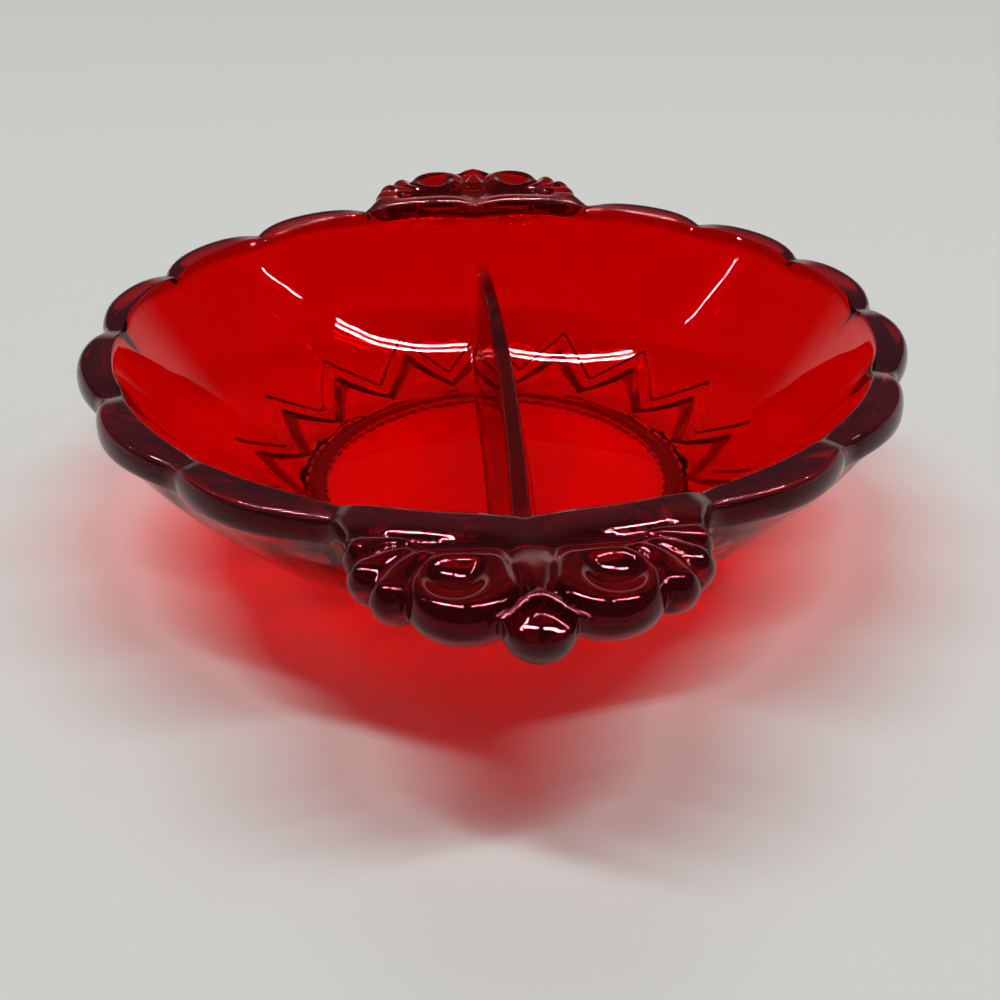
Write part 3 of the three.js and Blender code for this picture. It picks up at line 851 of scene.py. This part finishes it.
class Tree:
    """Short ways to add and join the nodes of a geometry tree."""

    def __init__(self, name):
        self.group = bpy.data.node_groups.new(name, "GeometryNodeTree")
        self.group.interface.new_socket("Geometry", in_out="INPUT", socket_type="NodeSocketGeometry")
        self.group.interface.new_socket("Geometry", in_out="OUTPUT", socket_type="NodeSocketGeometry")
        self.inputs = {}

    def size(self, name, value):
        socket = self.group.interface.new_socket(name, in_out="INPUT", socket_type="NodeSocketFloat")
        socket.default_value = value
        self.inputs[name] = (socket.identifier, value)

    def start(self):
        self.source = self.group.nodes.new("NodeGroupInput")
        return self.source.outputs["Geometry"]

    def given(self, name):
        return self.source.outputs[name]

    def node(self, kind, links=(), **settings):
        made = self.group.nodes.new(kind)
        for key, value in settings.items():
            setattr(made, key, value)
        for socket, value in links:
            if isinstance(value, bpy.types.NodeSocket):
                self.group.links.new(value, made.inputs[socket])
            else:
                made.inputs[socket].default_value = value
        return made

    def math(self, operation, a, b=0.0, c=0.0):
        links = [(0, a), (1, b)] + ([(2, c)] if operation == "MULTIPLY_ADD" else [])
        return self.node("ShaderNodeMath", links, operation=operation).outputs[0]

    def scaled(self, vector, factor):
        made = self.node("ShaderNodeVectorMath", [(0, vector), ("Scale", factor)], operation="SCALE")
        return made.outputs[0]

    def fall(self, value, start, run):
        """1 up to start, then down to 0 over run."""
        links = [("Value", value), ("From Min", start), ("From Max", self.math("ADD", start, run)),
                 ("To Min", 1.0), ("To Max", 0.0)]
        return self.node("ShaderNodeMapRange", links).outputs[0]

    def value_of(self, name):
        return self.node("GeometryNodeInputNamedAttribute", [("Name", name)], data_type="FLOAT").outputs[0]

    def end(self, geometry, material):
        real = self.node("GeometryNodeRealizeInstances", [("Geometry", geometry)])
        skin = self.node("GeometryNodeSetMaterial", [("Geometry", real.outputs[0]), ("Material", material)])
        self.node("NodeGroupOutput", [("Geometry", skin.outputs[0])])


def press_tree(material):
    """Presses the petal ends into the fluted wall and the beads into the foot ring."""
    tree = Tree("pressed_petals_and_beads")
    tree.size("Petal tip radius", PETAL_TIP_RADIUS * MM)
    tree.size("Petal valley radius", PETAL_VALLEY_RADIUS * MM)
    tree.size("Petal step", PETAL_STEP * MM)
    tree.size("Petal step run", PETAL_STEP_RUN * MM)
    tree.size("Petal line rise", PETAL_BEVEL * MM)
    tree.size("Petal line step", PETAL_LINE_STEP * MM)
    tree.size("Petal line run", PETAL_LINE_RUN * MM)
    tree.size("Bead count", float(FOOT_BEADS))
    tree.size("Bead depth", FOOT_BEAD_DEPTH * MM)
    tree.size("Bead ring radius", FOOT_INNER_RADIUS * MM)
    geometry = tree.start()
    place = tree.node("GeometryNodeInputPosition").outputs[0]
    parts = tree.node("ShaderNodeSeparateXYZ", [(0, place)])
    x, y = parts.outputs[0], parts.outputs[1]
    radius = tree.math("SQRT", tree.math("ADD", tree.math("MULTIPLY", x, x), tree.math("MULTIPLY", y, y)))
    outside = tree.value_of("outside")

    spread = tree.math("SUBTRACT", tree.given("Petal valley radius"), tree.given("Petal tip radius"))
    end = tree.math("MULTIPLY_ADD", tree.value_of("flute_share"), spread, tree.given("Petal tip radius"))
    low = tree.fall(radius, end, tree.given("Petal step run"))
    line = tree.math("ADD", end, tree.given("Petal line rise"))
    high = tree.fall(radius, line, tree.given("Petal line run"))
    sunk = tree.math("ADD", tree.math("MULTIPLY", low, tree.given("Petal step")),
                     tree.math("MULTIPLY", high, tree.given("Petal line step")))
    sunk = tree.math("MULTIPLY", sunk, outside)
    foot = tree.node("ShaderNodeMapRange", [("Value", radius), ("From Min", FOOT_RADIUS * MM),
                                            ("From Max", (FOOT_RADIUS + FOOT_FADE) * MM), ("To Min", 0.0),
                                            ("To Max", 1.0)])
    sunk = tree.math("MULTIPLY", sunk, foot.outputs[0])
    normal = tree.node("GeometryNodeInputNormal").outputs[0]
    petals = tree.scaled(normal, tree.math("MULTIPLY", sunk, -1.0))
    pressed = tree.node("GeometryNodeSetPosition", [("Geometry", geometry), ("Offset", petals)])

    turn = tree.math("ARCTAN2", y, x)
    wave = tree.math("COSINE", tree.math("MULTIPLY", turn, tree.given("Bead count")))
    off = tree.math("ABSOLUTE", tree.math("SUBTRACT", radius, tree.given("Bead ring radius")))
    ring = tree.node("ShaderNodeMapRange", [("Value", off), ("From Min", FOOT_BEAD_SPAN[0] * MM),
                                            ("From Max", FOOT_BEAD_SPAN[1] * MM), ("To Min", 1.0),
                                            ("To Max", 0.0)])
    swell = tree.math("MULTIPLY", tree.math("MULTIPLY", wave, ring.outputs[0]), tree.given("Bead depth"))
    swell = tree.math("MULTIPLY", swell, outside)
    flat = tree.node("ShaderNodeCombineXYZ", [(0, x), (1, y), (2, 0.0)]).outputs[0]
    way = tree.node("ShaderNodeVectorMath", [(0, flat)], operation="NORMALIZE").outputs[0]
    beaded = tree.node("GeometryNodeSetPosition", [("Geometry", pressed.outputs[0]),
                                                   ("Offset", tree.scaled(way, swell))])
    tree.end(beaded.outputs[0], material)
    return tree


def pressed_dish(material):
    """The finished dish as a plain mesh."""
    blank = bpy.data.objects.new("dish_blank", dish_mesh())
    bpy.context.scene.collection.objects.link(blank)
    tree = press_tree(material)
    press = blank.modifiers.new("press", "NODES")
    press.node_group = tree.group
    for identifier, value in tree.inputs.values():
        press[identifier] = value
    graph = bpy.context.evaluated_depsgraph_get()
    mesh = bpy.data.meshes.new_from_object(blank.evaluated_get(graph), depsgraph=graph)
    blank.modifiers.remove(press)
    bpy.data.objects.remove(blank)
    dish = bpy.data.objects.new("candy_dish", mesh)
    bpy.context.scene.collection.objects.link(dish)
    return dish


def colour_steps(nodes, steps):
    """A colour ramp with the given positions and colours."""
    ramp = nodes.new("ShaderNodeValToRGB")
    elements = ramp.color_ramp.elements
    elements[0].position, elements[1].position = steps[0][0], steps[-1][0]
    for position, _ in steps[1:-1]:
        elements.new(position)
    for element, (_, colour) in zip(elements, steps):
        element.color = (*colour, 1.0)
    return ramp


def ruby_glass():
    """Clear ruby glass: fire-polished, with faint ripples, and grained on the bevels of the petals; its
    colour, clearness and sheen tint follow the painted shade.
    """
    material = bpy.data.materials.new("ruby_glass")
    material.use_nodes = True
    nodes, links = material.node_tree.nodes, material.node_tree.links
    nodes.clear()
    glass = nodes.new("ShaderNodeBsdfPrincipled")
    glass.inputs["IOR"].default_value = GLASS_IOR
    depth = nodes.new("ShaderNodeAttribute")
    depth.attribute_name = "painted_shade_depth"
    # Painted shade: base colour, clearness and sheen tint follow the painted shade attribute
    for socket, steps in (("Base Color", PAINTED_SHADE_STEPS), ("Transmission Weight", CLEAR_STEPS),
                          ("Specular Tint", SHEEN_STEPS)):
        ramp = colour_steps(nodes, steps)
        links.new(depth.outputs["Fac"], ramp.inputs["Fac"])
        links.new(ramp.outputs["Color"], glass.inputs[socket])
    place = nodes.new("ShaderNodeTexCoord")
    ripple = nodes.new("ShaderNodeTexNoise")
    ripple.inputs["Scale"].default_value = RIPPLE_SCALE
    ripple.inputs["Detail"].default_value = RIPPLE_DETAIL
    bump = nodes.new("ShaderNodeBump")
    bump.inputs["Strength"].default_value = RIPPLE_STRENGTH
    bump.inputs["Distance"].default_value = RIPPLE_DEPTH
    links.new(place.outputs["Object"], ripple.inputs["Vector"])
    links.new(ripple.outputs["Fac"], bump.inputs["Height"])
    links.new(bump.outputs["Normal"], glass.inputs["Normal"])
    polish = nodes.new("ShaderNodeMapRange")
    polish.inputs["To Min"].default_value, polish.inputs["To Max"].default_value = POLISH_ROUGHNESS
    links.new(ripple.outputs["Fac"], polish.inputs["Value"])
    grain = nodes.new("ShaderNodeAttribute")
    grain.attribute_name = "petal_grain"
    rough = nodes.new("ShaderNodeMath")
    rough.operation = "MULTIPLY_ADD"
    rough.inputs[1].default_value = GRAIN_ROUGHNESS
    links.new(grain.outputs["Fac"], rough.inputs[0])
    links.new(polish.outputs["Result"], rough.inputs[2])
    links.new(rough.outputs[0], glass.inputs["Roughness"])
    body = nodes.new("ShaderNodeVolumeAbsorption")
    body.inputs["Color"].default_value = RED_PASSES
    body.inputs["Density"].default_value = RED_DENSITY
    out = nodes.new("ShaderNodeOutputMaterial")
    ray = nodes.new("ShaderNodeLightPath")
    through = nodes.new("ShaderNodeBsdfTransparent")
    through.inputs["Color"].default_value = SHADOW_TINT
    lit = nodes.new("ShaderNodeMixShader")
    links.new(ray.outputs["Is Shadow Ray"], lit.inputs["Fac"])
    links.new(glass.outputs["BSDF"], lit.inputs[1])
    links.new(through.outputs["BSDF"], lit.inputs[2])
    links.new(lit.outputs["Shader"], out.inputs["Surface"])
    links.new(body.outputs["Volume"], out.inputs["Volume"])
    return material


def pale_cloth():
    """Pale table cloth with a fine weave, which fades into the backdrop far from the dish."""
    material = bpy.data.materials.new("pale_cloth")
    material.use_nodes = True
    nodes, links = material.node_tree.nodes, material.node_tree.links
    cloth = nodes["Principled BSDF"]
    cloth.inputs["Base Color"].default_value = CLOTH_COLOUR
    cloth.inputs["Roughness"].default_value = CLOTH_ROUGHNESS
    cloth.inputs["Specular IOR Level"].default_value = 0.0
    place = nodes.new("ShaderNodeTexCoord")
    weave = nodes.new("ShaderNodeTexNoise")
    weave.inputs["Scale"].default_value = WEAVE_SCALE
    weave.inputs["Detail"].default_value = WEAVE_DETAIL
    bump = nodes.new("ShaderNodeBump")
    bump.inputs["Strength"].default_value = WEAVE_STRENGTH
    bump.inputs["Distance"].default_value = WEAVE_DEPTH
    links.new(place.outputs["Object"], weave.inputs["Vector"])
    links.new(weave.outputs["Fac"], bump.inputs["Height"])
    links.new(bump.outputs["Normal"], cloth.inputs["Normal"])
    away = nodes.new("ShaderNodeVectorMath")
    away.operation = "LENGTH"
    links.new(place.outputs["Object"], away.inputs[0])
    far = grey_range(nodes, links, away.outputs["Value"], FAR_CLOTH_SPAN, (0.0, 1.0))
    share = nodes.new("ShaderNodeMath")
    share.operation = "MULTIPLY"
    links.new(far, share.inputs[0])
    links.new(looking_rays(nodes, links), share.inputs[1])
    backdrop = nodes.new("ShaderNodeEmission")
    backdrop.inputs["Color"].default_value = BACKDROP
    blend = nodes.new("ShaderNodeMixShader")
    links.new(share.outputs[0], blend.inputs["Fac"])
    links.new(cloth.outputs["BSDF"], blend.inputs[1])
    links.new(backdrop.outputs["Emission"], blend.inputs[2])
    links.new(blend.outputs["Shader"], nodes["Material Output"].inputs["Surface"])
    return material


def table():
    half = CLOTH_HALF_SIZE
    mesh = bpy.data.meshes.new("table_cloth")
    points = [(-half, -half, 0.0), (half, -half, 0.0), (half, half, 0.0), (-half, half, 0.0)]
    mesh.from_pydata(points, [], [(0, 1, 2, 3)])
    mesh.materials.append(pale_cloth())
    cloth = bpy.data.objects.new("table_cloth", mesh)
    bpy.context.scene.collection.objects.link(cloth)


def tube_lamp(name, start, end, width):
    """One long tube above the table. Start, end and width are shares of its height, sideways and back."""
    (ax, ay), (bx, by) = start, end
    light = bpy.data.lights.new(name, "AREA")
    light.shape = "RECTANGLE"
    light.size = TUBE_HEIGHT * math.hypot(bx - ax, by - ay)
    light.size_y = TUBE_HEIGHT * width
    light.energy = TUBE_GLOW * math.pi * light.size * light.size_y
    lamp = bpy.data.objects.new(name, light)
    lamp.location = (TUBE_HEIGHT * 0.5 * (ax + bx), TUBE_HEIGHT * 0.5 * (ay + by), TUBE_HEIGHT)
    lamp.rotation_euler = (0.0, 0.0, math.atan2(by - ay, bx - ax))
    bpy.context.scene.collection.objects.link(lamp)
    tube_gleam(name + "_gleam", lamp, light.size, light.size_y)


def tube_gleam(name, lamp, length, width):
    """A strip just below a tube, which only the reflections on the glass see."""
    mesh = bpy.data.meshes.new(name)
    a, b = 0.5 * length, 0.5 * width
    turn = Matrix.Rotation(lamp.rotation_euler.z, 3, "Z")
    place = lamp.location - Vector((0.0, 0.0, GLEAM_GAP))
    points = [turn @ Vector((u * a, v * b, 0.0)) + place for u, v in ((-1, 1), (1, 1), (1, -1), (-1, -1))]
    mesh.from_pydata(points, [], [(0, 1, 2, 3)])
    mesh.materials.append(gleam_glow())
    strip = bpy.data.objects.new(name, mesh)
    bpy.context.scene.collection.objects.link(strip)
    strip.visible_camera = False
    strip.visible_diffuse = False
    strip.visible_transmission = False
    strip.visible_shadow = False


def gleam_glow():
    """Glow of the strips, dark where light has already met the cloth."""
    material = bpy.data.materials.get("gleam_glow")
    if material:
        return material
    material = bpy.data.materials.new("gleam_glow")
    material.use_nodes = True
    material.cycles.emission_sampling = "NONE"
    nodes, links = material.node_tree.nodes, material.node_tree.links
    nodes.clear()
    ray = nodes.new("ShaderNodeLightPath")
    first = nodes.new("ShaderNodeMath")
    first.operation = "LESS_THAN"
    first.inputs[1].default_value = 0.5
    links.new(ray.outputs["Diffuse Depth"], first.inputs[0])
    level = nodes.new("ShaderNodeMath")
    level.operation = "MULTIPLY"
    level.inputs[1].default_value = GLEAM_GLOW
    links.new(first.outputs[0], level.inputs[0])
    glow = nodes.new("ShaderNodeEmission")
    links.new(level.outputs[0], glow.inputs["Strength"])
    out = nodes.new("ShaderNodeOutputMaterial")
    links.new(glow.outputs["Emission"], out.inputs["Surface"])
    return material


def soft_lamp(name, place, size, power):
    """A broad soft light that points at the dish and leaves no spot on the glass."""
    light = bpy.data.lights.new(name, "AREA")
    light.shape = "DISK"
    light.size = size
    light.energy = power
    lamp = bpy.data.objects.new(name, light)
    lamp.location = place
    way = -lamp.location.normalized()
    lamp.rotation_euler = way.to_track_quat("-Z", "Y").to_euler()
    lamp.visible_glossy = False
    lamp.visible_transmission = False
    bpy.context.scene.collection.objects.link(lamp)


def grey_range(nodes, links, value, span, greys):
    """A grey that goes smoothly from one level to another over a span of values."""
    ramp = nodes.new("ShaderNodeMapRange")
    ramp.interpolation_type = "SMOOTHSTEP"
    ramp.inputs["From Min"].default_value, ramp.inputs["From Max"].default_value = span
    ramp.inputs["To Min"].default_value, ramp.inputs["To Max"].default_value = greys
    links.new(value, ramp.inputs["Value"])
    return ramp.outputs["Result"]


def total(nodes, links, first, *others):
    for other in others:
        add = nodes.new("ShaderNodeMath")
        add.operation = "ADD"
        links.new(first, add.inputs[0])
        links.new(other, add.inputs[1])
        first = add.outputs[0]
    return first


def looking_rays(nodes, links):
    """1 for rays from the lens, straight or by way of the glass, and 0 for light that falls on things."""
    ray = nodes.new("ShaderNodeLightPath")
    kinds = [ray.outputs[kind] for kind in ("Is Camera Ray", "Is Glossy Ray", "Is Transmission Ray")]
    return total(nodes, links, *kinds)


def room():
    """Room with pale walls and a dark ceiling, for the lens and in the glass, and an even dim fill."""
    world = bpy.data.worlds.new("room")
    bpy.context.scene.world = world
    world.use_nodes = True
    nodes, links = world.node_tree.nodes, world.node_tree.links
    nodes.clear()
    place = nodes.new("ShaderNodeTexCoord")
    parts = nodes.new("ShaderNodeSeparateXYZ")
    links.new(place.outputs["Generated"], parts.inputs[0])
    walls = nodes.new("ShaderNodeBackground")
    walls.inputs["Color"].default_value = BACKDROP
    links.new(grey_range(nodes, links, parts.outputs[2], WALL_SPAN, WALL_GREYS), walls.inputs["Strength"])
    fill = nodes.new("ShaderNodeBackground")
    fill.inputs["Color"].default_value = FILL_COLOUR
    fill.inputs["Strength"].default_value = ROOM_FILL
    pick = nodes.new("ShaderNodeMixShader")
    links.new(looking_rays(nodes, links), pick.inputs["Fac"])
    links.new(fill.outputs["Background"], pick.inputs[1])
    links.new(walls.outputs["Background"], pick.inputs[2])
    out = nodes.new("ShaderNodeOutputWorld")
    links.new(pick.outputs["Shader"], out.inputs["Surface"])


def photo_camera():
    """Camera at the photograph's place and angle."""
    yaw, pitch, roll = (math.radians(turn) for turn in (CAMERA_YAW, CAMERA_PITCH, CAMERA_ROLL))
    ahead = np.array((math.sin(yaw) * math.cos(pitch), math.cos(yaw) * math.cos(pitch), -math.sin(pitch)))
    right = np.array((math.cos(yaw), -math.sin(yaw), 0.0))
    down = np.cross(ahead, right)
    right, down = (math.cos(roll) * right + math.sin(roll) * down,
                   math.cos(roll) * down - math.sin(roll) * right)
    turn = np.stack((right, -down, -ahead), 1)
    data = bpy.data.cameras.new("photo_camera")
    data.sensor_width = SENSOR_WIDTH
    data.sensor_fit = "HORIZONTAL"
    data.lens = CAMERA_LENS
    data.clip_start = LENS_CLIP
    camera = bpy.data.objects.new("photo_camera", data)
    camera.matrix_world = Matrix.Translation(CAMERA_PLACE) @ Matrix(turn.tolist()).to_4x4()
    bpy.context.scene.collection.objects.link(camera)
    bpy.context.scene.camera = camera


scene = bpy.context.scene
scene.view_settings.view_transform = "Standard"
scene.cycles.max_bounces = LIGHT_BOUNCES
scene.cycles.transmission_bounces = LIGHT_BOUNCES
scene.cycles.glossy_bounces = GLOSSY_BOUNCES

glass = ruby_glass()
dish = pressed_dish(glass)
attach(dish, "root")
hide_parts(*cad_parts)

table()
room()
for name, (start, end, width) in TUBES.items():
    tube_lamp(name, start, end, width)
soft_lamp("back_softbox", SOFTBOX_PLACE, SOFTBOX_SIZE, SOFTBOX_POWER)
photo_camera()
